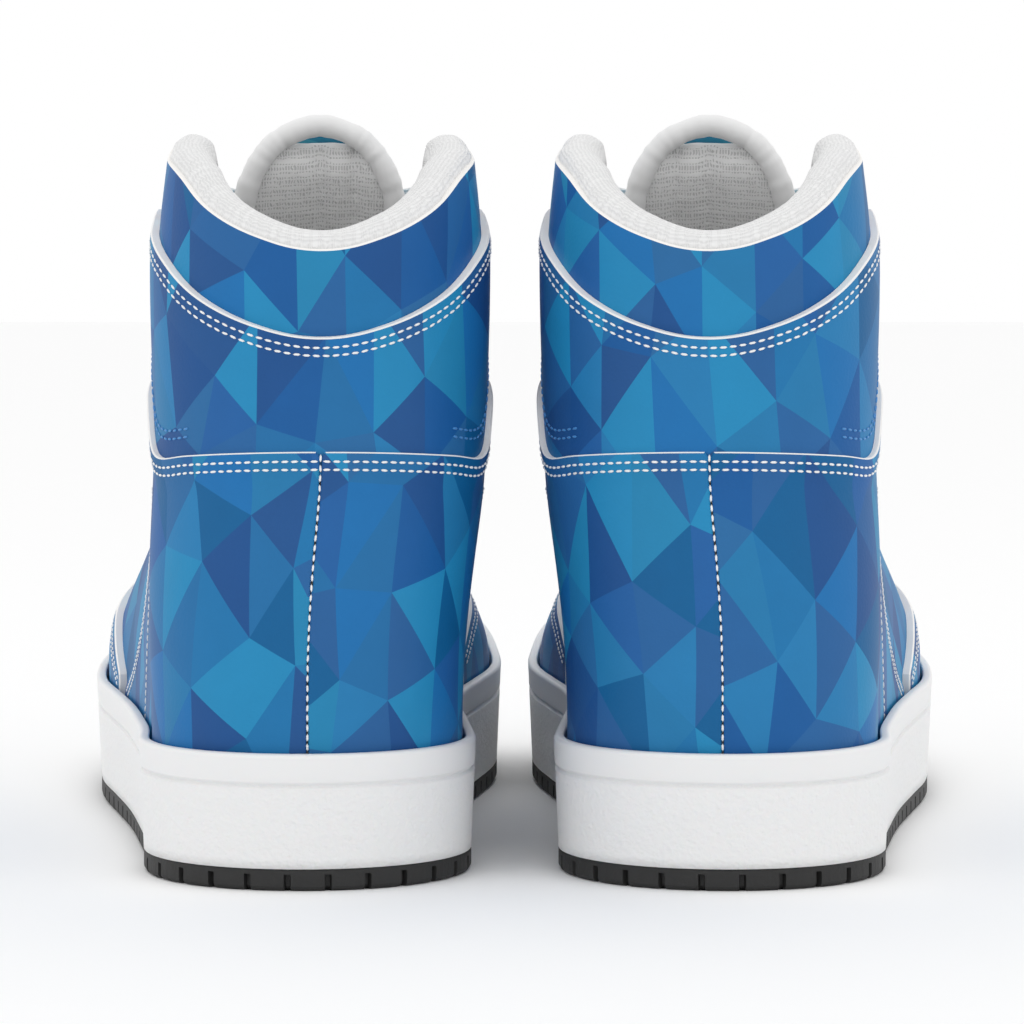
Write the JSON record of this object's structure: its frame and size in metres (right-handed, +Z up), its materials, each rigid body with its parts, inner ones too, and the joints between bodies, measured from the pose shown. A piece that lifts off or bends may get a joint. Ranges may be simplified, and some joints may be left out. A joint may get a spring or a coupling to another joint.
{
  "type": "basketball high top",
  "caption": "Pair of cupsole high-top shoes: layered printed-leather uppers, padded ankle collars and tilting tongues.",
  "frame": {"origin": "on the ground at the centre of the pair's footprint", "axes": "+X towards the right shoe, +Y towards the toes, +Z up"},
  "size_m": [0.2292, 0.2982, 0.1833],
  "materials": {
    "printed_leather": "satin geometric print in blues, with a grain",
    "printed_cloth": "matt cyan print",
    "white_textile": "matt knitted mesh",
    "white_rubber": "satin, pebbled lower wall",
    "black_rubber": "matt",
    "board": "matt fibre board",
    "foam": "open-cell foam",
    "insole_cloth": "matt"
  },
  "bodies": {
    "shoes": {"left_outsole": "black_rubber", "left_midsole": "white_rubber", "left_heel_cushion": "foam", "left_strobel_board": "board", "left_insole": "insole_cloth", "left_heel_counter": "board", "left_toe_puff": "board", "left_toe_box": "printed_leather", "left_toe_overlay": "printed_leather", "left_quarter_lateral": "printed_leather", "left_quarter_medial": "printed_leather", "left_heel_panel_lateral": "printed_leather", "left_heel_panel_medial": "printed_leather", "left_eyestay_lateral": "printed_leather", "left_eyestay_medial": "printed_leather", "left_collar_panel": "printed_leather", "left_ankle_band": "printed_leather", "left_quarter_lining": "white_textile", "left_vamp_lining": "white_textile", "left_collar_foam": "foam", "left_collar_lining": "white_textile", "left_lace": "white_textile", "right_outsole": "black_rubber", "right_midsole": "white_rubber", "right_heel_cushion": "foam", "right_strobel_board": "board", "right_insole": "insole_cloth", "right_heel_counter": "board", "right_toe_puff": "board", "right_toe_box": "printed_leather", "right_toe_overlay": "printed_leather", "right_quarter_lateral": "printed_leather", "right_quarter_medial": "printed_leather", "right_heel_panel_lateral": "printed_leather", "right_heel_panel_medial": "printed_leather", "right_eyestay_lateral": "printed_leather", "right_eyestay_medial": "printed_leather", "right_collar_panel": "printed_leather", "right_ankle_band": "printed_leather", "right_quarter_lining": "white_textile", "right_vamp_lining": "white_textile", "right_collar_foam": "foam", "right_collar_lining": "white_textile", "right_lace": "white_textile"},
    "left_tongue": {"left_tongue_cover": "printed_cloth", "left_tongue_padding": "white_textile", "left_tongue_edge_roll": "white_textile"},
    "right_tongue": {"right_tongue_cover": "printed_cloth", "right_tongue_padding": "white_textile", "right_tongue_edge_roll": "white_textile"}
  },
  "joints": [
    {"name": "left_tongue_tilt", "type": "hinge", "parent": "shoes", "child": "left_tongue", "pos_m": [-0.053, 0.041, 0.074], "axis": [0.999, 0.0436, 0], "range_deg": [0, 12], "stiffness_Nm_per_rad": 0.9, "springref_deg": -2.86},
    {"name": "right_tongue_tilt", "type": "hinge", "parent": "shoes", "child": "right_tongue", "pos_m": [0.053, 0.041, 0.074], "axis": [0.999, -0.0436, 0], "range_deg": [0, 12], "stiffness_Nm_per_rad": 0.9, "springref_deg": -2.86}
  ]
}
